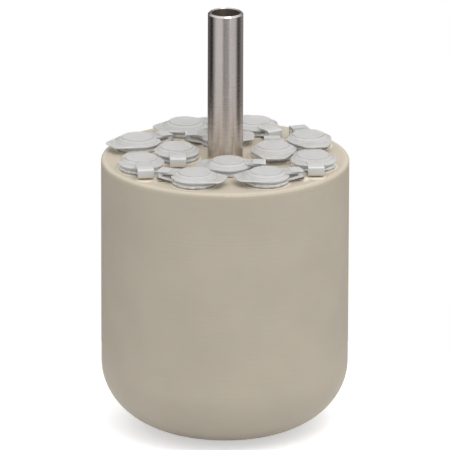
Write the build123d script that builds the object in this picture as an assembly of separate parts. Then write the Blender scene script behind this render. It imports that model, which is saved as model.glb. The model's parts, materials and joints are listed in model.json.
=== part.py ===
from build123d import *
import os
from math import asin, atan2, cos, degrees, hypot, radians, sin, tan

os.makedirs("parts", exist_ok=True)

# Round tube carrier for a swing-out centrifuge bucket, loaded with closed microtubes.
# Millimetres, +Z up, origin at the middle of the flat base that the carrier stands on.

# Carrier: one turned plastic block.
CARRIER_DIA = 70.0
CARRIER_HEIGHT = 78.5
FOOT_DIA = 26.0            # flat base left inside the rounded bottom corner
CORNER_RISE = 18.8         # height at which the bottom corner runs into the straight wall
RIM_ROUND = 0.8            # radius of the turned top edge

# Bore pattern: two rings of bores about the handle.
OUTER_RING_DIA = 52.4
INNER_RING_DIA = 27.2
OUTER_TURN = 26.0          # bearing of the first outer bore, degrees from +X
INNER_TURN = 3.5           # bearing of the first inner bore
BORE_FIT = 0.25            # radial gap round a tube in its bore
BORE_SPARE = 3.0           # bore depth below the tube's tip
DRILL_ANGLE = 118.0        # point angle of the drill that cuts the bores
DRILL_OVERRUN = 1.0        # how far the cutting solid starts above the top face

# How the tubes happen to be dropped in: bearing of each hinge, degrees from +X.
OUTER_BEARINGS = (108.0, -57.0, 24.0, 32.0, -82.0, 160.0, 18.0, -86.0)
INNER_BEARINGS = (92.0, 180.0, -88.0, 0.0)

# Lift handle: plain steel tube, held in the centre bore.
HANDLE_DIA = 10.0
HANDLE_WALL = 1.0
HANDLE_FREE = 42.6         # length that stands out of the carrier
HANDLE_SEAT = 32.0         # length inside the centre bore
HANDLE_OUTER_BREAK = 0.45  # chamfers on the open end
HANDLE_INNER_BREAK = 0.3
HANDLE_FIT = 0.03          # radial

# Microtube, in its own frame: Z = 0 is the carrier's top face, +X points at the hinge.
TUBE_DIA = 10.7
TUBE_WALL = 1.0
TUBE_LENGTH = 37.6         # collar seat to tip
SHOULDER_DEPTH = 18.5      # where the cone starts
SHOULDER_DIA = 10.1
TIP_RADIUS = 1.9
MOUTH_DIA = 9.3
MOUTH_DEPTH = 2.2          # straight sealing length below the collar seat
MOUTH_TAPER = 1.6          # length of the taper from the mouth to the body's bore
FOOT_RING_DIA = 11.9       # narrow ring under the collar, which the tube stands on
FOOT_RING_HEIGHT = 0.42
COLLAR_DIA = 12.6
COLLAR_TOP = 1.0
RIM_DIA = 11.2
RIM_TOP = 1.7

# Lid, in the same frame, closed.
LID_DIA = 13.0
LID_UNDERSIDE = 1.9
LID_THICKNESS = 1.35
LIP_THICKNESS = 0.42       # flat lip, which runs out into the thumb tab
LIP_ROUND = 0.15
LIP_LEDGE = 0.25           # width of the lip round the foot of the cone
TAB_REACH = 9.0            # tube axis to the tab's straight front edge
TAB_WIDTH = 7.3
TAB_CORNER = 1.8
DISC_DIA = 9.0             # raised writing disc
DISC_LEDGE = 0.2           # flat ring between the disc and the top of the cone
DISC_HEIGHT = 0.25
DISC_BREAK = 0.12
PLUG_GAP = 0.05            # radial gap between plug and mouth, under the lip
PLUG_TAPER = 0.35          # how much slimmer the plug is at its lower end, so it swings out
PLUG_LENGTH = 2.8
PLUG_WALL = 0.9
PLUG_FLOOR = 0.2           # how far the plug's hollow runs up into the lid

# Hinge strap: lower leaf and rolled fold on the tube, upper leaf on the lid.
STRAP_WIDTH = 4.6
FOLD_REACH = 9.65          # tube axis to hinge axis
FOLD_HEIGHT = 2.1          # hinge axis above the carrier's top face
FOLD_RADIUS = 0.85
LEAF = 0.6                 # thickness of each leaf
FOLD_GAP = 0.05            # running gap between the fold and the lid's leaf
LEAF_RISE = 0.8            # the lower leaf climbs this much from collar to fold
LEAF_START = 4.6           # the upper leaf leaves the cone here, beside the disc
LEAF_SINK = 0.08           # how far its top lies below the cone's there

CARRIER_R = CARRIER_DIA / 2
BORE_R = TUBE_DIA / 2 + BORE_FIT
LID_TOP = LID_UNDERSIDE + LID_THICKNESS
FOLD_TOP = FOLD_HEIGHT + FOLD_RADIUS
SHOULDER = (SHOULDER_DIA / 2, -SHOULDER_DEPTH)


def turn(*edges):
    """Close a half section of (radius, height) edges and turn it once about Z."""
    section = make_face(Plane.XZ * Wire(list(edges)))
    return revolve(section, axis=Axis.Z)


def turn_points(*points):
    """Turn a half section that has only straight edges."""
    return revolve(make_face(Plane.XZ * Polyline(*points, close=True)), axis=Axis.Z)


def blind_hole(radius, depth):
    """A drilled hole with its mouth at Z = 0 and the drill's cone at the bottom."""
    cone = radius / tan(radians(DRILL_ANGLE / 2))
    start = DRILL_OVERRUN
    return turn_points((0, start), (radius, start), (radius, -depth), (0, -depth - cone))


def bore_places():
    """Name, centre and hinge bearing of every tube, ring by ring."""
    places = []
    rings = (
        ("outer", OUTER_RING_DIA, OUTER_TURN, OUTER_BEARINGS),
        ("inner", INNER_RING_DIA, INNER_TURN, INNER_BEARINGS),
    )
    for ring, diameter, first, bearings in rings:
        for index, bearing in enumerate(bearings):
            angle = radians(first + 360 * index / len(bearings))
            centre = (diameter / 2 * cos(angle), diameter / 2 * sin(angle), CARRIER_HEIGHT)
            places.append((f"{ring}_{index + 1}", centre, bearing))
    return places


def carrier_body():
    """Turned block: flat foot, elliptical bottom corner, straight wall, rounded rim, bores."""
    foot = FOOT_DIA / 2
    rim = CARRIER_HEIGHT - RIM_ROUND
    block = turn(
        Line((0, 0), (foot, 0)),
        EllipticalCenterArc((foot, CORNER_RISE), CARRIER_R - foot, CORNER_RISE, 270, arc_size=90),
        Line((CARRIER_R, CORNER_RISE), (CARRIER_R, rim)),
        CenterArc((CARRIER_R - RIM_ROUND, rim), RIM_ROUND, 0, 90),
        Line((CARRIER_R - RIM_ROUND, CARRIER_HEIGHT), (0, CARRIER_HEIGHT)),
        Line((0, CARRIER_HEIGHT), (0, 0)),
    )
    tube_bore = blind_hole(BORE_R, TUBE_LENGTH + BORE_SPARE)
    handle_bore = blind_hole(HANDLE_DIA / 2 + HANDLE_FIT, HANDLE_SEAT)
    holes = [Pos(*centre) * tube_bore for _, centre, _ in bore_places()]
    holes.append(Pos(0, 0, CARRIER_HEIGHT) * handle_bore)
    return block - holes


def lift_handle():
    """Steel tube that fills its bore's straight depth, with both edges of its open end broken."""
    outer = HANDLE_DIA / 2
    inner = outer - HANDLE_WALL
    bottom = CARRIER_HEIGHT - HANDLE_SEAT
    top = CARRIER_HEIGHT + HANDLE_FREE
    return turn_points(
        (inner, bottom),
        (outer, bottom),
        (outer, top - HANDLE_OUTER_BREAK),
        (outer - HANDLE_OUTER_BREAK, top),
        (inner + HANDLE_INNER_BREAK, top),
        (inner, top - HANDLE_INNER_BREAK),
    )


def tip_tangent(radius, centre_height, corner):
    """Where a cone through corner touches the round tip, and the cone's half angle in degrees."""
    drop = corner[1] - centre_height
    reach = hypot(corner[0], drop)
    half_angle = atan2(corner[0], drop) - asin(radius / reach)
    touch = (radius * cos(half_angle), centre_height - radius * sin(half_angle))
    return touch, degrees(half_angle)


def tube_body():
    """Body, round tip, foot ring, collar and mouth, as one turned section."""
    centre = TIP_RADIUS - TUBE_LENGTH
    inner_tip = TIP_RADIUS - TUBE_WALL
    inner_shoulder = (SHOULDER[0] - TUBE_WALL, SHOULDER[1])
    outer_touch, outer_angle = tip_tangent(TIP_RADIUS, centre, SHOULDER)
    inner_touch, inner_angle = tip_tangent(inner_tip, centre, inner_shoulder)
    taper_end = (TUBE_DIA / 2 - TUBE_WALL, -MOUTH_DEPTH - MOUTH_TAPER)
    outside = Polyline(
        outer_touch,
        SHOULDER,
        (TUBE_DIA / 2, 0),
        (FOOT_RING_DIA / 2, 0),
        (FOOT_RING_DIA / 2, FOOT_RING_HEIGHT),
        (COLLAR_DIA / 2, FOOT_RING_HEIGHT),
        (COLLAR_DIA / 2, COLLAR_TOP),
        (RIM_DIA / 2, COLLAR_TOP),
        (RIM_DIA / 2, RIM_TOP),
        (MOUTH_DIA / 2, RIM_TOP),
        (MOUTH_DIA / 2, -MOUTH_DEPTH),
        taper_end,
        inner_shoulder,
        inner_touch,
    )
    return turn(
        CenterArc((0, centre), TIP_RADIUS, -90, 90 - outer_angle),
        *outside.edges(),
        CenterArc((0, centre), inner_tip, -90, 90 - inner_angle),
        Line((0, centre - inner_tip), (0, -TUBE_LENGTH)),
    )


def across_strap(section):
    """Give an XZ section the strap's width, centred on the tube."""
    return extrude(section, STRAP_WIDTH / 2, both=True)


def fold_section(radius):
    """Round section about the hinge axis."""
    return Plane.XZ * Pos(FOLD_REACH, FOLD_HEIGHT) * Circle(radius)


def microtube():
    """Open tube with the lower leaf of its strap, rolled up into the fold."""
    root = MOUTH_DIA / 2 + TUBE_WALL / 2
    leaf_under = FOLD_HEIGHT - FOLD_RADIUS
    leaf = Plane.XZ * make_face(Polyline(
        (root, leaf_under - LEAF_RISE),
        (FOLD_REACH, leaf_under),
        (FOLD_REACH, leaf_under + LEAF),
        (root, leaf_under + LEAF - LEAF_RISE),
        close=True,
    ))
    return tube_body() + across_strap(leaf) + across_strap(fold_section(FOLD_RADIUS))


def lid_top():
    """Lip and thumb tab under one outline, and on it the low cone that carries the raised disc."""
    corner_x = TAB_CORNER - TAB_REACH
    corner_y = TAB_WIDTH / 2 - TAB_CORNER
    corners = [Pos(corner_x, side * corner_y) * Circle(TAB_CORNER) for side in (-1, 1)]
    outline = make_hull([circle.edge() for circle in (Circle(LID_DIA / 2), *corners)])
    lip = Pos(0, 0, LID_UNDERSIDE) * extrude(outline, LIP_THICKNESS)
    lip = fillet(lip.faces().sort_by(Axis.Z)[-1].edges(), LIP_ROUND)
    lip_top = LID_UNDERSIDE + LIP_THICKNESS
    foot_r = LID_DIA / 2 - LIP_LEDGE
    disc_r = DISC_DIA / 2
    cone = turn_points(
        (0, LID_UNDERSIDE),
        (foot_r, LID_UNDERSIDE),
        (foot_r, lip_top),
        (disc_r + DISC_LEDGE, LID_TOP),
        (disc_r, LID_TOP),
        (disc_r, LID_TOP + DISC_HEIGHT - DISC_BREAK),
        (disc_r - DISC_BREAK, LID_TOP + DISC_HEIGHT),
        (0, LID_TOP + DISC_HEIGHT),
    )
    return lip + cone


def lid_plug():
    """Hollow sealing plug, slimmer towards its lower end."""
    top = MOUTH_DIA / 2 - PLUG_GAP
    bottom = top - PLUG_TAPER
    low = LID_UNDERSIDE - PLUG_LENGTH
    return turn_points(
        (0, LID_UNDERSIDE + LEAF),
        (top, LID_UNDERSIDE + LEAF),
        (top, LID_UNDERSIDE),
        (bottom, low),
        (bottom - PLUG_WALL, low),
        (top - PLUG_WALL, LID_UNDERSIDE + PLUG_FLOOR),
        (0, LID_UNDERSIDE + PLUG_FLOOR),
    )


def microtube_lid():
    """Snap lid with the upper leaf of its strap, which ends round the fold with a running gap."""
    start_top = LID_TOP - LEAF_SINK
    leaf = Plane.XZ * make_face(Polyline(
        (LEAF_START, start_top - LEAF),
        (FOLD_REACH, FOLD_TOP - LEAF),
        (FOLD_REACH, FOLD_TOP),
        (LEAF_START, start_top),
        close=True,
    ))
    strap = across_strap(leaf) - across_strap(fold_section(FOLD_RADIUS + FOLD_GAP))
    return lid_top() + lid_plug() + strap


def save(shape, name):
    export_step(shape, f"parts/{name}.step")


save(carrier_body(), "carrier_body")
save(lift_handle(), "lift_handle")

tube = microtube()
lid = microtube_lid()
for place, centre, bearing in bore_places():
    seat = Pos(*centre) * Rot(0, 0, bearing)
    save(seat * tube, f"tube_{place}")
    save(seat * lid, f"lid_{place}")
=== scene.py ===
import json
import math

import bpy
import numpy as np
from bpy.props import FloatProperty, FloatVectorProperty, IntProperty, PointerProperty
from mathutils import Matrix, Vector


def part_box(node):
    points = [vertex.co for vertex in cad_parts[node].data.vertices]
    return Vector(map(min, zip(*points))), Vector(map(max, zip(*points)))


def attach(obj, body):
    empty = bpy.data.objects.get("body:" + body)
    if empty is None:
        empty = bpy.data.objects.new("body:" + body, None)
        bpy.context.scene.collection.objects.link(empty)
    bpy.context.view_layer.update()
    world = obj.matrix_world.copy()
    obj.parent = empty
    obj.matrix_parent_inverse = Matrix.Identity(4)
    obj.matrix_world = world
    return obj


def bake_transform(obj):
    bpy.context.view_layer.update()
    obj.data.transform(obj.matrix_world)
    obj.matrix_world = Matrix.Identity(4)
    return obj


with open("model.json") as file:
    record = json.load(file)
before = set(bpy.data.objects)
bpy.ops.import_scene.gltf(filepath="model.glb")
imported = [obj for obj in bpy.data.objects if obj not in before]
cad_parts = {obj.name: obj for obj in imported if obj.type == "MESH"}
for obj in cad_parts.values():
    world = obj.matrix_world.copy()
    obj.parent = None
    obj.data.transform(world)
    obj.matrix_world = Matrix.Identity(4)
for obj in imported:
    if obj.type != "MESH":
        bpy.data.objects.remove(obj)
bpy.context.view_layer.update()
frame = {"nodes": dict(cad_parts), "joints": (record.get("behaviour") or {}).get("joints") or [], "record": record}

bl_info = {
    "name": "Loaded Tube Carrier",
    "version": (1, 0, 0),
    "blender": (4, 5, 0),
    "location": "View3D > Sidebar > Tube Carrier",
    "description": "Dresses a turned carrier block, its steel lift tube and twelve snap-lid microtubes",
    "category": "Object",
}

MM = 0.001
TUBES = sorted(name[len("tube_"):] for name in frame["nodes"] if name.startswith("tube_"))
ROOT_BODY = "loaded_carrier"

# Where a finish changes, in millimetres: the start and end of a smooth step, unless a line says otherwise.
# On the block and the lift tube, radius is from the carrier's axis and height from its base. On a tube and
# its lid, both are from the tube's axis and the top face, and along is towards the lid's hinge.
BLOCK_TOP = (78.2, 78.4)       # height
# The block's rounded top edge carries a painted highlight across this span
BLOCK_EDGE_HIGHLIGHT = (111.6, 112.9)    # radius plus height, across the rounded top edge
LIT_GROUND = (                 # distance along the bearing, then where the lit ground is full and ends
    (0.0, 6.2, 7.3),           # under a collar
    (9.8, 2.2, 3.1),           # under a strap's fold
)
STEEL_INSIDE = (4.0, 4.25)     # radius
STEEL_BLOCK_REFLECTION = (82, 104)         # height where the painted reflection of the block fades out
DISC_FACE = (2.9, 3.2)         # height
DISC_FROST = (4.2, 4.5)        # radius
# painted shadow line round the raised disc
DISC_SHADOW_LINE = (4.42, 0.2)        # radius of its middle, and half its width
# painted shade of the plug under the lid, as seen through its top
PLUG_SHADE_LINE = (5.45, 0.3)        # radius of its middle, and half its width
PLUG_FACE = (2.3, 2.5)         # height
# painted highlight along the lid's lower edge
LIP_HIGHLIGHT_LINE = (2.1, 0.3)          # height of its middle, and half its width
LIP_START = (6.2, 6.45)        # radius
LIP_END = (9.1, 9.3)           # radius
# below this height the collar is painted paler, as painted light where the lid shades it
COLLAR_TOP = (1.95, 2.1)       # height
# painted shade in stripes round the collar, standing in for shaded flutes
FLUTE_SHADE_LINE = (0.95, 0.8)       # height of its middle, and half its width
FLUTE_SIDE = (5.9, 6.0)        # radius
# beyond this the fold's face is painted lighter, as painted light
FOLD_FACE = (10.2, 10.5)       # along
# below this the strap's foot is painted with the block's colour and shade
FOLD_FOOT = (0.9, 1.7)         # height
# where the painted highlight along the strap's bend lies
BEND_SIDE = (9.9, 10.3)        # along
BEND_TOP = (2.55, 2.8)         # height

# Fixed colours of the painted light and shade on the moulded plastic
PAINTED_PALE_LIGHT = (0.88, 0.88, 0.87)
FLUTE_SHADE = (0.45, 0.46, 0.47)
BEND_HIGHLIGHT = (0.92, 0.92, 0.92)
PLASTIC_IOR = 1.49

# The overhead lamp, in metres and watts
LAMP_SIZE = 0.5
LAMP_POWER = 2.6
LAMP_PLACE = (0.18, -0.4, 0.85)
LAMP_AIM = (0, 0, 0.06)


# Places read from the frame -------------------------------------------------------------------

def opening_centre(place):
    """Centre of the box that keeps a tube's inside open, which lies on the tube's axis."""
    openings = frame["record"]["physics"]["openings"]
    low, high = next(o["box_m"] for o in openings if o["name"] == f"tube_inside_{place}")
    return (np.array(low) + np.array(high)) / 2


def tube_seat(place):
    """A tube's axis, the bearing of its lid's hinge, and the top face that its collar stands on."""
    centre = opening_centre(place)
    hinge = next(j for j in frame["joints"] if j["child"] == f"lid_{place}")
    bearing = math.atan2(hinge["pos_m"][1] - centre[1], hinge["pos_m"][0] - centre[0])
    top_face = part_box("carrier_body")[1][2]
    return centre[0], centre[1], top_face, bearing


# Shader arithmetic ----------------------------------------------------------------------------

class Number:
    """A number that varies over a surface. Arithmetic on it adds Math nodes to its tree."""

    def __init__(self, tree, socket):
        self.tree = tree
        self.socket = socket

    def math(self, operation, *others):
        """A Math node with this number in its first socket."""
        return self.tree.math(operation, self, *others)

    def __add__(self, other):
        return self.math("ADD", other)

    def __sub__(self, other):
        return self.math("SUBTRACT", other)

    def __rsub__(self, other):
        return self.tree.math("SUBTRACT", other, self)

    def __mul__(self, other):
        return self.math("MULTIPLY", other)

    def __truediv__(self, other):
        return self.math("DIVIDE", other)

    def __pow__(self, other):
        return self.math("POWER", other)

    __radd__ = __add__
    __rmul__ = __mul__

    def near(self, centre, half_width):
        """1 at centre, falling to 0 at half_width on either side."""
        distance = (self - centre).math("ABSOLUTE")
        return (1 - distance / half_width).math("MAXIMUM", 0.0)

    def above(self, start, end):
        """0 below start, 1 above end, smooth between them."""
        settings = {"interpolation_type": "SMOOTHSTEP"}
        inputs = {"Value": self, "From Min": start, "From Max": end}
        return self.tree.add("ShaderNodeMapRange", settings, inputs)


class Tree:
    """One node tree, of a material or of the world."""

    def __init__(self, owner):
        owner.use_nodes = True
        self.nodes = owner.node_tree.nodes
        self.links = owner.node_tree.links
        self.nodes.clear()

    def add(self, kind, settings=None, inputs=None, output=0):
        """Adds a node, gives it its settings and its inputs' values or links, and returns one output."""
        node = self.nodes.new(kind)
        for name, value in (settings or {}).items():
            setattr(node, name, value)
        for key, value in (inputs or {}).items():
            if isinstance(value, Number):
                self.links.new(value.socket, node.inputs[key])
            else:
                node.inputs[key].default_value = value
        return Number(self, node.outputs[output] if node.outputs else None)

    def math(self, operation, *values):
        """A Math node on numbers and values."""
        return self.add("ShaderNodeMath", {"operation": operation}, dict(enumerate(values)))

    def blend(self, factor, first, second):
        """A colour between two colours."""
        inputs = {0: factor, 6: first, 7: second}
        return self.add("ShaderNodeMix", {"data_type": "RGBA"}, inputs, output=2)

    def place(self, centre=(0, 0, 0), bearing=0.0):
        """Object coordinates measured from a piece's own centre and turned to its bearing, in millimetres."""
        spot = self.add("ShaderNodeTexCoord", output=3)
        turned = {
            "Vector": spot,
            "Location": centre,
            "Rotation": (0, 0, bearing),
            "Scale": (MM, MM, MM),
        }
        return self.add("ShaderNodeMapping", {"vector_type": "TEXTURE"}, turned)

    def split(self, vector):
        """The three numbers of a vector."""
        return [self.add("ShaderNodeSeparateXYZ", None, {0: vector}, output=i) for i in range(3)]

    def radius(self, x, y):
        """Distance from an axis: the square root of x squared plus y squared."""
        return (x * x + y * y) ** 0.5

    def noise(self, vector, scale, detail=3.0, stretch=(1, 1, 1)):
        """Soft noise about 0.5, with scale in cells to a millimetre before the stretch."""
        shaped = self.add("ShaderNodeVectorMath", {"operation": "MULTIPLY"}, {0: vector, 1: stretch})
        inputs = {"Vector": shaped, "Scale": scale, "Detail": detail, "Roughness": 0.55}
        return self.add("ShaderNodeTexNoise", None, inputs)

    def line_noise(self, along, scale, detail=4.0):
        """Noise of one number, which makes lines wherever that number is level."""
        inputs = {"W": along, "Scale": scale, "Detail": detail}
        return self.add("ShaderNodeTexNoise", {"noise_dimensions": "1D"}, inputs)

    def bump(self, height, depth):
        """A normal from a height of 0 to 1, depth in metres."""
        inputs = {"Strength": 1.0, "Distance": depth, "Height": height}
        return self.add("ShaderNodeBump", None, inputs)

    def surface(self, inputs):
        """Ends a material in one Principled shader."""
        shader = self.add("ShaderNodeBsdfPrincipled", None, inputs)
        self.add("ShaderNodeOutputMaterial", None, {"Surface": shader})


def rgba(colour, factor=1.0):
    """A colour as four numbers, lighter or darker by a factor."""
    return (*(min(channel * factor, 1.0) for channel in colour), 1.0)


def new_material(name):
    """An empty material and its tree."""
    material = bpy.data.materials.new(name)
    return material, Tree(material)


def dress(obj, material):
    """Gives a piece one material."""
    obj.data.materials.clear()
    obj.data.materials.append(material)


# Surfaces worked out on grids -------------------------------------------------------------------

def grid_faces(rows, columns):
    """Quads of a grid that closes both ways, wound so that rows cross columns outwards."""
    row, column = np.meshgrid(np.arange(rows), np.arange(columns), indexing="ij")
    next_row = (row + 1) % rows
    next_column = (column + 1) % columns
    corners = [(row, column), (row, next_column), (next_row, next_column), (next_row, column)]
    return np.stack([r * columns + c for r, c in corners], axis=-1).reshape(-1, 4)


def sweep_faces(rows, columns):
    """Quads of a grid that closes across its columns only, and a cap on its first and last row."""
    quads = grid_faces(rows, columns)[: (rows - 1) * columns]
    first = list(range(columns))
    last = [(rows - 1) * columns + column for column in range(columns)]
    return [*quads.tolist(), first[::-1], last]


def make_piece(name, points, faces, slot):
    """A smooth mesh from an array of points and its faces, in the scene; its slot is not used."""
    mesh = bpy.data.meshes.new(name)
    mesh.from_pydata(points, [], faces)
    mesh.validate()
    mesh.shade_smooth()
    piece = bpy.data.objects.new(name, mesh)
    bpy.context.scene.collection.objects.link(piece)
    return piece


def stand_at(seat, along, across, height):
    """Points from distances along the hinge's bearing, across it, and above the top face.

    The seat's first number, plus along times the bearing's cosine, less across times its sine, and the
    seat's second number, plus along times the sine, plus across times the cosine.
    """
    x, y, floor, bearing = seat
    return np.stack([
        x + along * np.cos(bearing) - across * np.sin(bearing),
        y + along * np.sin(bearing) + across * np.cos(bearing),
        floor + height + 0 * across,
    ], axis=-1)


def ribbed_ring(sizes, seat):
    """A ring whose outer radius steps in and out round the tube.

    Round the ring the angle a runs from 0 to a full turn, and the section is a rectangle walked once.
    Outer radius = root radius + rib depth x square wave, and the square wave is
    tanh(steepness x cos(ribs x a)) brought to 0 to 1, so every rib has softly rounded flanks.
    """
    steepness, columns_per_rib = 5, 24
    angle = np.linspace(0, 2 * np.pi, sizes.rib_count * columns_per_rib, endpoint=False)
    wave = 0.5 + 0.5 * np.tanh(steepness * np.cos(sizes.rib_count * angle))
    outer = sizes.root_radius + sizes.rib_depth * wave
    inner = np.full_like(angle, sizes.root_radius - sizes.rib_depth)
    low, high = sizes.rib_foot, sizes.rib_top
    radii = np.stack([inner, outer, outer, inner])
    heights = np.array([low, low, high, high])[:, None]
    points = stand_at(seat, radii * np.cos(angle), radii * np.sin(angle), heights)
    return points.reshape(-1, 3), grid_faces(len(radii), len(angle))[:, ::-1]


def soften(line, rounds):
    """Cuts every corner of a line at a quarter of its runs, once in each round, and keeps the line's ends."""
    for _ in range(rounds):
        near = 0.75 * line[:-1] + 0.25 * line[1:]
        far = 0.25 * line[:-1] + 0.75 * line[1:]
        cut = np.stack([near, far], axis=1).reshape(-1, 2)
        line = np.concatenate([line[:1], cut, line[-1:]])
    return line


def folded_strap(sizes, seat):
    """The strap's outer skin: a thin strip laid over the lid's leaf, down the fold and back under it.

    Its middle line runs in the plane of the hinge's bearing through six corners, softened. Its section
    is a superellipse of the strap's width and the skin's thickness: across = half width x c and out =
    half thickness x s, where c and s are the signed square roots of the cosine and sine of an angle.
    """
    top, outer, low = sizes.fold_top, sizes.fold_outer, sizes.fold_low
    corners = np.array([
        (sizes.fold_start, top + 0.1e-3),    # on the lid's leaf
        (outer - 0.35e-3, top),              # before the bend
        (outer, top - 0.1e-3),               # past the bend
        (outer, low + 0.5e-3),               # down the fold's face
        (outer - 0.25e-3, low),              # turned under
        (outer - 1.3e-3, low - 0.05e-3),     # end under the fold
    ])
    line = soften(corners, 3)
    run = np.gradient(line, axis=0)
    run /= np.linalg.norm(run, axis=1, keepdims=True)
    turn = np.linspace(0, 2 * np.pi, 32, endpoint=False)
    cosine, sine = np.cos(turn), np.sin(turn)
    across = sizes.strap_width / 2 * np.sign(cosine) * np.abs(cosine) ** 0.5
    out = sizes.skin / 2 * np.sign(sine) * np.abs(sine) ** 0.5
    along = line[:, :1] - run[:, 1:] * out
    height = line[:, 1:] + run[:, :1] * out
    points = stand_at(seat, along, across + 0 * along, height)
    return points.reshape(-1, 3), sweep_faces(len(line), len(turn))


# Sizes and colours --------------------------------------------------------------------------------

class BlockLook(bpy.types.PropertyGroup):
    colour: FloatVectorProperty(
        name="Plastic", description="Colour of the turned block", subtype="COLOR",
        size=3, min=0, max=1, default=(0.448, 0.399, 0.322),
    )
    glow_colour: FloatVectorProperty(
        name="Glow", description="Colour of the top face where light comes down through the tubes",
        subtype="COLOR", size=3, min=0, max=1, default=(0.74, 0.66, 0.54),
    )
    roughness: FloatProperty(
        name="Roughness", description="Mean roughness of the turned faces", subtype="FACTOR",
        min=0, max=1, default=0.55,
    )
    groove_pitch: FloatProperty(
        name="Groove Pitch", description="Distance between turning marks in millimetres", default=0.22,
    )
    groove_depth: FloatProperty(
        name="Groove Depth", description="Depth of the turning marks", unit="LENGTH", default=4e-6,
    )


class SteelLook(bpy.types.PropertyGroup):
    colour: FloatVectorProperty(
        name="Steel", description="Reflection colour of the lift tube", subtype="COLOR",
        size=3, min=0, max=1, default=(0.6, 0.55, 0.53),
    )
    roughness: FloatProperty(
        name="Roughness", description="Mean roughness of the ground steel", subtype="FACTOR",
        min=0, max=1, default=0.25,
    )
    # painted reflection of the beige block on the steel near its foot
    block_reflection_colour: FloatVectorProperty(
        name="Foot", description="Reflection colour close to the block", subtype="COLOR",
        size=3, min=0, max=1, default=(0.64, 0.55, 0.47),
    )
    # dark colour given to the inside of the bore
    inside_dark: FloatVectorProperty(
        name="Inside", description="Colour of the dull inside", subtype="COLOR",
        size=3, min=0, max=1, default=(0.11, 0.09, 0.07),
    )
    grind_depth: FloatProperty(
        name="Grinding Depth", description="Depth of the marks round the tube", unit="LENGTH", default=2e-6,
    )


class TubeLook(bpy.types.PropertyGroup):
    colour: FloatVectorProperty(
        name="Natural Plastic", description="Colour of the translucent tubes and lids", subtype="COLOR",
        size=3, min=0, max=1, default=(0.66, 0.655, 0.642),
    )
    disc_colour: FloatVectorProperty(
        name="Disc", description="Colour of the frosted disc on each lid", subtype="COLOR",
        size=3, min=0, max=1, default=(0.61, 0.605, 0.597),
    )
    roughness: FloatProperty(
        name="Roughness", description="Mean roughness of the moulded faces", subtype="FACTOR",
        min=0, max=1, default=0.33,
    )
    scatter: FloatProperty(
        name="Scatter", description="How far light spreads inside the plastic", unit="LENGTH", default=0.004,
    )
    clearness: FloatProperty(
        name="Clearness", description="Share of light that passes straight through a lid", subtype="FACTOR",
        min=0, max=1, default=0.3,
    )
    tube_clearness: FloatProperty(
        name="Tube Clearness", description="Share of light that passes straight through a tube",
        subtype="FACTOR", min=0, max=1, default=0.0,
    )
    skin_clearness: FloatProperty(
        name="Skin Clearness", description="Share of light that passes the thin strap straight",
        subtype="FACTOR", min=0, max=1, default=0.1,
    )
    skin_colour: FloatVectorProperty(
        name="Strap", description="Colour of the thin strap", subtype="COLOR",
        size=3, min=0, max=1, default=(0.53, 0.53, 0.522),
    )
    # painted: the block's colour and its shade, as if seen through the strap's foot
    painted_foot_colour: FloatVectorProperty(
        name="Strap Foot", description="Colour of the strap where the block shows through it",
        subtype="COLOR", size=3, min=0, max=1, default=(0.62, 0.56, 0.47),
    )
    # the flutes are stripes of painted shade, not shapes
    shaded_flute_count: IntProperty(
        name="Flutes", description="Grey flutes round each collar", min=3, default=20,
    )
    rib_count: IntProperty(
        name="Ribs", description="Ribs under each collar", min=3, default=12,
    )
    root_radius: FloatProperty(
        name="Rib Root", description="Radius between the ribs", unit="LENGTH", default=5.92e-3,
    )
    rib_depth: FloatProperty(
        name="Rib Depth", description="How far a rib stands out", unit="LENGTH", default=0.32e-3,
    )
    rib_foot: FloatProperty(
        name="Rib Foot", description="Height of the ribs' lower end over the top face", unit="LENGTH",
        default=0.04e-3,
    )
    rib_top: FloatProperty(
        name="Rib Top", description="Height of the ribs' upper end over the top face", unit="LENGTH",
        default=0.46e-3,
    )
    strap_width: FloatProperty(
        name="Strap Width", description="Width of the hinge strap's skin", unit="LENGTH", default=4.64e-3,
    )
    skin: FloatProperty(
        name="Skin", description="Thickness of the strap's skin", unit="LENGTH", default=0.16e-3,
    )
    fold_start: FloatProperty(
        name="Skin Start", description="Where the skin starts on the lid's leaf, from the tube's axis",
        unit="LENGTH", default=6.9e-3,
    )
    fold_outer: FloatProperty(
        name="Fold Reach", description="Middle of the skin on the fold's outer face, from the tube's axis",
        unit="LENGTH", default=10.52e-3,
    )
    fold_top: FloatProperty(
        name="Fold Top", description="Middle of the skin over the fold, above the top face", unit="LENGTH",
        default=2.96e-3,
    )
    fold_low: FloatProperty(
        name="Fold Foot", description="Middle of the skin under the fold, above the top face", unit="LENGTH",
        default=0.46e-3,
    )


class StageLook(bpy.types.PropertyGroup):
    elevation: FloatProperty(
        name="Elevation", description="Camera's angle above the horizon", subtype="ANGLE",
        default=math.radians(17.768),
    )
    distance: FloatProperty(
        name="Distance", description="Camera's distance from its aim point", unit="LENGTH", default=2.36477,
    )
    aim_height: FloatProperty(
        name="Aim Height", description="Height of the aim point on the carrier's axis", unit="LENGTH",
        default=0.05844,
    )
    roll: FloatProperty(
        name="Roll", description="Turn of the camera about its view", subtype="ANGLE",
        default=math.radians(0.1687),
    )
    lens: FloatProperty(
        name="Lens", description="Focal length in millimetres on a 36 mm sensor", default=669.4,
    )
    floor_radius: FloatProperty(
        name="Floor Radius", description="Radius of the pale table top", unit="LENGTH", default=0.08,
    )
    floor_colour: FloatVectorProperty(
        name="Floor", description="Colour of the table top", subtype="COLOR",
        size=3, min=0, max=1, default=(0.7, 0.7, 0.7),
    )


# Materials ------------------------------------------------------------------------------------------

def lit_spots(tree, x, y):
    """1 under every collar and strap, falling to 0 round them, where light comes down through the tubes."""
    lit = 0.0
    for place in TUBES:
        tube_x, tube_y, _, bearing = tube_seat(place)
        for reach, full, end in LIT_GROUND:
            spot_x = tube_x / MM + reach * math.cos(bearing)
            spot_y = tube_y / MM + reach * math.sin(bearing)
            lit = lit + (1 - tree.radius(x - spot_x, y - spot_y).above(full, end))
    return lit.math("MINIMUM", 1.0)


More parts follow.
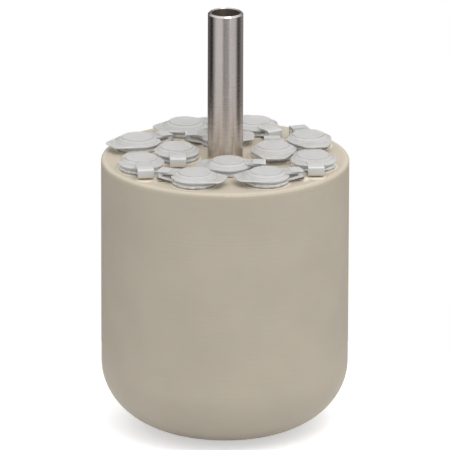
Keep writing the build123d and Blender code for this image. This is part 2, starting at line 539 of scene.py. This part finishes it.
def turned_plastic(look):
    """Silky plastic with faint turning marks, cloudy tone, a painted highlight along the top edge and a glow under
    the tubes.
    """
    material, tree = new_material("turned_plastic")
    spot = tree.place()
    x, y, z = tree.split(spot)
    radius = tree.radius(x, y)
    along = radius + z    # runs up the wall and out over the top face, so marks circle both
    wave = (along * (2 * math.pi / look.groove_pitch)).math("SINE")
    lines = tree.line_noise(along, 1.7)
    cloud = tree.noise(spot, 0.07, detail=4)
    grain = tree.noise(spot, 2.6, detail=5)
    tone = 0.55 * cloud + 0.25 * lines + 0.2 * grain
    plain = tree.blend(tone.above(0.3, 0.7), rgba(look.colour, 0.955), rgba(look.colour, 1.045))
    edge = (radius + z).above(*BLOCK_EDGE_HIGHLIGHT)
    # painted highlight: the rounded top edge is lightened where the top light catches it
    edge_highlighted = tree.blend(edge * 0.35, plain, rgba(look.colour, 1.35))
    glow = lit_spots(tree, x, y) * z.above(*BLOCK_TOP)
    colour = tree.blend(glow, edge_highlighted, rgba(look.glow_colour))
    tree.surface({
        "Base Color": colour,
        "Roughness": look.roughness + 0.14 * (grain - 0.5) + 0.1 * (lines - 0.5),
        "IOR": PLASTIC_IOR,
        "Specular IOR Level": 0.3,
        "Subsurface Weight": 0.08,
        "Subsurface Scale": 0.001,
        "Normal": tree.bump(0.35 * wave + 1.3 * lines + 0.5 * grain, look.groove_depth),
    })
    return material


def ground_steel(look):
    """Drawn tube, ground all round, so it blurs up and down; a painted reflection of the block at its foot, dull
    and darker inside.
    """
    material, tree = new_material("ground_steel")
    spot = tree.place()
    x, y, z = tree.split(spot)
    drawn = tree.noise(spot, 9.0, detail=5, stretch=(1, 1, 0.02))
    ground = tree.line_noise(z, 6.0, detail=3)
    cloud = tree.noise(spot, 0.25, detail=3)
    tone = 0.5 * drawn + 0.2 * ground + 0.3 * cloud
    inside = 1 - tree.radius(x, y).above(*STEEL_INSIDE)
    clean = tree.blend(tone.above(0.3, 0.7), rgba(look.colour, 0.94), rgba(look.colour, 1.06))
    # painted reflection: the steel is tinted towards the block's colour close to the block
    foot = 0.8 * (1 - z.above(*STEEL_BLOCK_REFLECTION))
    block_reflected = tree.blend(foot, clean, rgba(look.block_reflection_colour))
    # the inside of the bore is darker, duller and less metallic
    colour = tree.blend(inside, block_reflected, rgba(look.inside_dark))
    tree.surface({
        "Base Color": colour,
        "Metallic": 1 - 0.6 * inside,
        "Roughness": look.roughness + 0.12 * (ground - 0.5) + 0.1 * (drawn - 0.5) + 0.35 * inside,
        "Anisotropic": 1.0,
        "Anisotropic Rotation": 0.25,
        "Normal": tree.bump(0.06 * drawn + ground, look.grind_depth),
    })
    return material


def natural_plastic(name, look, seat, clearness):
    """Milky moulding: frosted disc with a painted shadow line round it, painted shade of the plug's ring, a
    painted highlight on the lid's lower edge, painted light on the collar and painted shade in stripes for its
    flutes.
    """
    material, tree = new_material(name)
    x0, y0, z0, bearing = seat
    spot = tree.place((x0, y0, z0), bearing)
    x, y, z = tree.split(spot)
    radius = tree.radius(x, y)
    flow = tree.noise(spot, 0.5, detail=4)
    grain = tree.noise(spot, 6.0, detail=3)
    on_top = z.above(*DISC_FACE)
    disc_shadow_line = radius.near(*DISC_SHADOW_LINE) * on_top
    plug_shade_line = radius.near(*PLUG_SHADE_LINE) * z.above(*PLUG_FACE)
    frost = (1 - radius.above(*DISC_FROST)) * on_top
    lip_highlight = z.near(*LIP_HIGHLIGHT_LINE) * radius.above(*LIP_START) * (1 - radius.above(*LIP_END))
    plain = tree.blend(flow.above(0.3, 0.7), rgba(look.colour, 0.97), rgba(look.colour, 1.03))
    # painted shade: a darker ring where the plug's wall lies under the lid's top
    plug_shaded = tree.blend(0.3 * plug_shade_line, plain, rgba(look.colour, 0.55))
    collar = 1 - z.above(*COLLAR_TOP)
    turn = y.math("ARCTAN2", x)
    ripple = (turn * look.shaded_flute_count).math("SINE").above(0.1, 0.7)
    flutes = ripple * z.near(*FLUTE_SHADE_LINE) * radius.above(*FLUTE_SIDE)
    disc = tree.blend(frost, plug_shaded, rgba(look.disc_colour))
    # painted shadow line round the raised disc
    disc_shadowed = tree.blend(0.85 * disc_shadow_line, disc, rgba(look.colour, 0.55))
    # painted highlight on the lid's lower edge, and painted light on the collar where the lid shades it
    pale = (0.7 * lip_highlight + collar).math("MINIMUM", 1.0)
    edge_and_collar_lit = tree.blend(pale, disc_shadowed, rgba(PAINTED_PALE_LIGHT))
    # painted shade in stripes round the collar, for its flutes
    colour = tree.blend(0.35 * flutes, edge_and_collar_lit, rgba(FLUTE_SHADE))
    tree.surface({
        "Base Color": colour,
        "Roughness": look.roughness + 0.12 * frost + 0.12 * (grain - 0.5),
        "IOR": PLASTIC_IOR,
        "Subsurface Weight": 1.0,
        "Subsurface Radius": (1.0, 1.0, 1.0),
        "Subsurface Scale": look.scatter,
        "Transmission Weight": clearness,
        "Normal": tree.bump(flow + 0.4 * grain, 8e-6),
    })
    return material


def strap_plastic(name, look, seat):
    """Thin strap: grey on top, a painted highlight along the bend, painted light on the fold's face, and the
    block's colour and shade painted towards its foot.
    """
    material, tree = new_material(name)
    x0, y0, z0, bearing = seat
    spot = tree.place((x0, y0, z0), bearing)
    x, y, z = tree.split(spot)
    flow = tree.noise(spot, 0.7, detail=4)
    grain = tree.noise(spot, 6.0, detail=3)
    face = x.above(*FOLD_FACE)
    foot = 1 - z.above(*FOLD_FOOT)
    bend = x.above(*BEND_SIDE) * z.above(*BEND_TOP)
    plain = tree.blend(flow.above(0.3, 0.7), rgba(look.skin_colour, 0.96), rgba(look.skin_colour, 1.04))
    # painted light: the fold's face is lightened where light would come through the strap
    face_lit = tree.blend(face, plain, rgba(look.skin_colour, 1.12))
    # painted show-through of the block and painted shade towards the strap's foot
    warm = tree.blend(0.7 * foot, face_lit, rgba(look.painted_foot_colour))
    tree.surface({
        # painted highlight along the bend
        "Base Color": tree.blend(0.3 * bend, warm, rgba(BEND_HIGHLIGHT)),
        "Roughness": look.roughness + 0.12 * (grain - 0.5),
        "IOR": PLASTIC_IOR,
        "Transmission Weight": look.skin_clearness,
        "Normal": tree.bump(flow + 0.4 * grain, 6e-6),
    })
    return material


# Pieces -----------------------------------------------------------------------------------------------

class OBJECT_OT_dress_block(bpy.types.Operator):
    """Give the turned block its plastic"""
    bl_idname = "tube_carrier.dress_block"
    bl_label = "Dress Turned Block"

    def execute(self, context):
        dress(frame["nodes"]["carrier_body"], turned_plastic(context.scene.carrier_block))
        return {"FINISHED"}


class OBJECT_OT_dress_lift_tube(bpy.types.Operator):
    """Give the lift tube its steel"""
    bl_idname = "tube_carrier.dress_lift_tube"
    bl_label = "Dress Lift Tube"

    def execute(self, context):
        dress(frame["nodes"]["lift_handle"], ground_steel(context.scene.carrier_steel))
        return {"FINISHED"}


class OBJECT_OT_dress_microtubes(bpy.types.Operator):
    """Give tubes and lids their plastic, each collar its ribs and each strap its skin"""
    bl_idname = "tube_carrier.dress_microtubes"
    bl_label = "Dress Microtubes"

    def execute(self, context):
        look = context.scene.carrier_tubes
        for place in TUBES:
            seat = tube_seat(place)
            lid = natural_plastic(f"lid_plastic_{place}", look, seat, look.clearness)
            tube = natural_plastic(f"tube_plastic_{place}", look, seat, look.tube_clearness)
            dress(frame["nodes"][f"lid_{place}"], lid)
            dress(frame["nodes"][f"tube_{place}"], tube)
            ribs = make_piece(f"collar_ribs_{place}", *ribbed_ring(look, seat), "tube_plastic")
            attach(ribs, ROOT_BODY)
            dress(ribs, tube)
            strap = make_piece(f"strap_skin_{place}", *folded_strap(look, seat), "lid_plastic")
            dress(strap, strap_plastic(f"strap_plastic_{place}", look, seat))
            fold_foot, leaf = (10.5e-3, 0, 1.0e-3), (9.3e-3, 0, 3.0e-3)
            ends = stand_at(seat, *np.array([fold_foot, leaf]).T)
            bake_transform(strap)
        return {"FINISHED"}


# Stage --------------------------------------------------------------------------------------------------

def table_top(look):
    """A flat disc: one face whose corners lie at equal angles on a circle about the carrier's axis."""
    angle = np.linspace(0, 2 * np.pi, 96, endpoint=False)
    rim = np.stack([look.floor_radius * np.cos(angle), look.floor_radius * np.sin(angle), 0 * angle], axis=-1)
    mesh = bpy.data.meshes.new("table_top")
    mesh.from_pydata(rim, [], [list(range(len(angle)))])
    table = bpy.data.objects.new("table_top", mesh)
    bpy.context.scene.collection.objects.link(table)
    return table


def pale_table(look):
    """Matt pale top that gives light of its own to the camera, in reflections and through clear plastic."""
    material, tree = new_material("pale_table")
    path = {kind: tree.add("ShaderNodeLightPath", output=kind) for kind in
            ("Is Camera Ray", "Is Glossy Ray", "Is Transmission Ray")}
    seen = path["Is Camera Ray"] + path["Is Glossy Ray"] + path["Is Transmission Ray"]
    tree.surface({
        "Base Color": rgba(look.floor_colour),
        "Roughness": 0.9,
        "Emission Color": tree.blend(seen, (0, 0, 0, 1), (0.5, 0.5, 0.5, 1)),
        "Emission Strength": 1.0,
    })
    return material


def studio_world():
    """White backdrop to the camera and through clear plastic, and a soft room to everything else.

    The room brightens from the horizon to the zenith and a little from left to right. Below the
    horizon, matt surfaces get the glow of a wide pale table. Polished ones see the room's walls there,
    each as a band of bearings with 0 at the front and 90 on the right: two light walls, a dimmer gap
    between them, a dark curtain on the left and a narrower one on the right.
    """
    world = bpy.data.worlds.new("studio")
    bpy.context.scene.world = world
    tree = Tree(world)
    direction = tree.add("ShaderNodeTexCoord", output=0)
    x, y, z = tree.split(direction)
    bearing = x.math("ARCTAN2", -1 * y) * (180 / math.pi)
    left_wall = bearing.above(-87, -58) * (1 - bearing.above(-26, -8))
    right_wall = bearing.above(16, 32) * (1 - bearing.above(62, 86))
    left_curtain = 1 - bearing.above(-98, -80)
    right_curtain = bearing.above(72, 90) * (1 - bearing.above(96, 132))
    walls = 0.31 + 0.5 * left_wall + 0.4 * right_wall
    walls = walls * (1 - 0.97 * left_curtain) * (1 - 0.85 * right_curtain)
    walls = walls + 0.13 * (1 - bearing.above(-130, -108))
    glossy, camera, through = (tree.add("ShaderNodeLightPath", output=f"Is {kind} Ray")
                               for kind in ("Glossy", "Camera", "Transmission"))
    low = walls * glossy + 0.85 * (1 - glossy)
    room = (0.58 + 1.15 * z.math("MAXIMUM", 0.0) ** 2) * (1 + 0.1 * x)
    high = z.above(-0.1, 0.12) * (1 - glossy) + z.above(0.25, 0.5) * glossy
    light = room * high + low * (1 - high)
    seen = camera + through
    strength = seen + light * (1 - seen)
    background = tree.add("ShaderNodeBackground", None, {"Color": (1, 1, 1, 1), "Strength": strength})
    tree.add("ShaderNodeOutputWorld", None, {"Surface": background})


def overhead_light():
    """A large soft lamp over the front of the table."""
    lamp = bpy.data.lights.new("overhead", "AREA")
    lamp.shape = "DISK"
    lamp.size = LAMP_SIZE
    lamp.energy = LAMP_POWER
    holder = bpy.data.objects.new("overhead", lamp)
    holder.location = LAMP_PLACE
    holder.rotation_euler = (Vector(LAMP_AIM) - holder.location).to_track_quat("-Z", "Y").to_euler()
    bpy.context.scene.collection.objects.link(holder)


def camera_at(look):
    """A long lens on the carrier's front, above the horizon by its elevation, turned by its roll."""
    data = bpy.data.cameras.new("camera")
    data.sensor_width = 36.0
    data.lens = look.lens
    data.clip_end = 20.0
    camera = bpy.data.objects.new("camera", data)
    rise = look.elevation
    back = Vector((0, -math.cos(rise), math.sin(rise)))
    right = Vector((1, 0, 0))
    up = back.cross(right)
    turned_right = right * math.cos(look.roll) + up * math.sin(look.roll)
    turned_up = up * math.cos(look.roll) - right * math.sin(look.roll)
    pose = Matrix((turned_right, turned_up, back)).transposed().to_4x4()
    pose.translation = Vector((0, 0, look.aim_height)) + back * look.distance
    camera.matrix_world = pose
    bpy.context.scene.collection.objects.link(camera)
    bpy.context.scene.camera = camera


class OBJECT_OT_set_stage(bpy.types.Operator):
    """Put up the table, the room's light, the lamp and the camera"""
    bl_idname = "tube_carrier.set_stage"
    bl_label = "Set Stage"

    def execute(self, context):
        look = context.scene.carrier_stage
        dress(table_top(look), pale_table(look))
        studio_world()
        overhead_light()
        camera_at(look)
        context.scene.view_settings.view_transform = "Standard"
        return {"FINISHED"}


class VIEW3D_PT_tube_carrier(bpy.types.Panel):
    """Lists the steps that dress the carrier"""
    bl_idname = "VIEW3D_PT_tube_carrier"
    bl_label = "Tube Carrier"
    bl_space_type = "VIEW_3D"
    bl_region_type = "UI"
    bl_category = "Tube Carrier"

    def draw(self, context):
        for operator in OPERATORS:
            self.layout.operator(operator.bl_idname)


LOOKS = {
    "carrier_block": BlockLook,
    "carrier_steel": SteelLook,
    "carrier_tubes": TubeLook,
    "carrier_stage": StageLook,
}
OPERATORS = (
    OBJECT_OT_dress_block,
    OBJECT_OT_dress_lift_tube,
    OBJECT_OT_dress_microtubes,
    OBJECT_OT_set_stage,
)


def register():
    """Registers the looks, the operators and the panel, and gives the scene its looks."""
    for kind in (*LOOKS.values(), *OPERATORS, VIEW3D_PT_tube_carrier):
        bpy.utils.register_class(kind)
    for name, look in LOOKS.items():
        setattr(bpy.types.Scene, name, PointerProperty(type=look))


def unregister():
    """Takes back what register did, in reverse."""
    for name in LOOKS:
        delattr(bpy.types.Scene, name)
    for kind in reversed((*LOOKS.values(), *OPERATORS, VIEW3D_PT_tube_carrier)):
        bpy.utils.unregister_class(kind)


def main():
    """Dresses the carrier step by step."""
    register()
    bpy.ops.tube_carrier.dress_block()
    bpy.ops.tube_carrier.dress_lift_tube()
    bpy.ops.tube_carrier.dress_microtubes()
    bpy.ops.tube_carrier.set_stage()


if __name__ == "__main__":
    main()
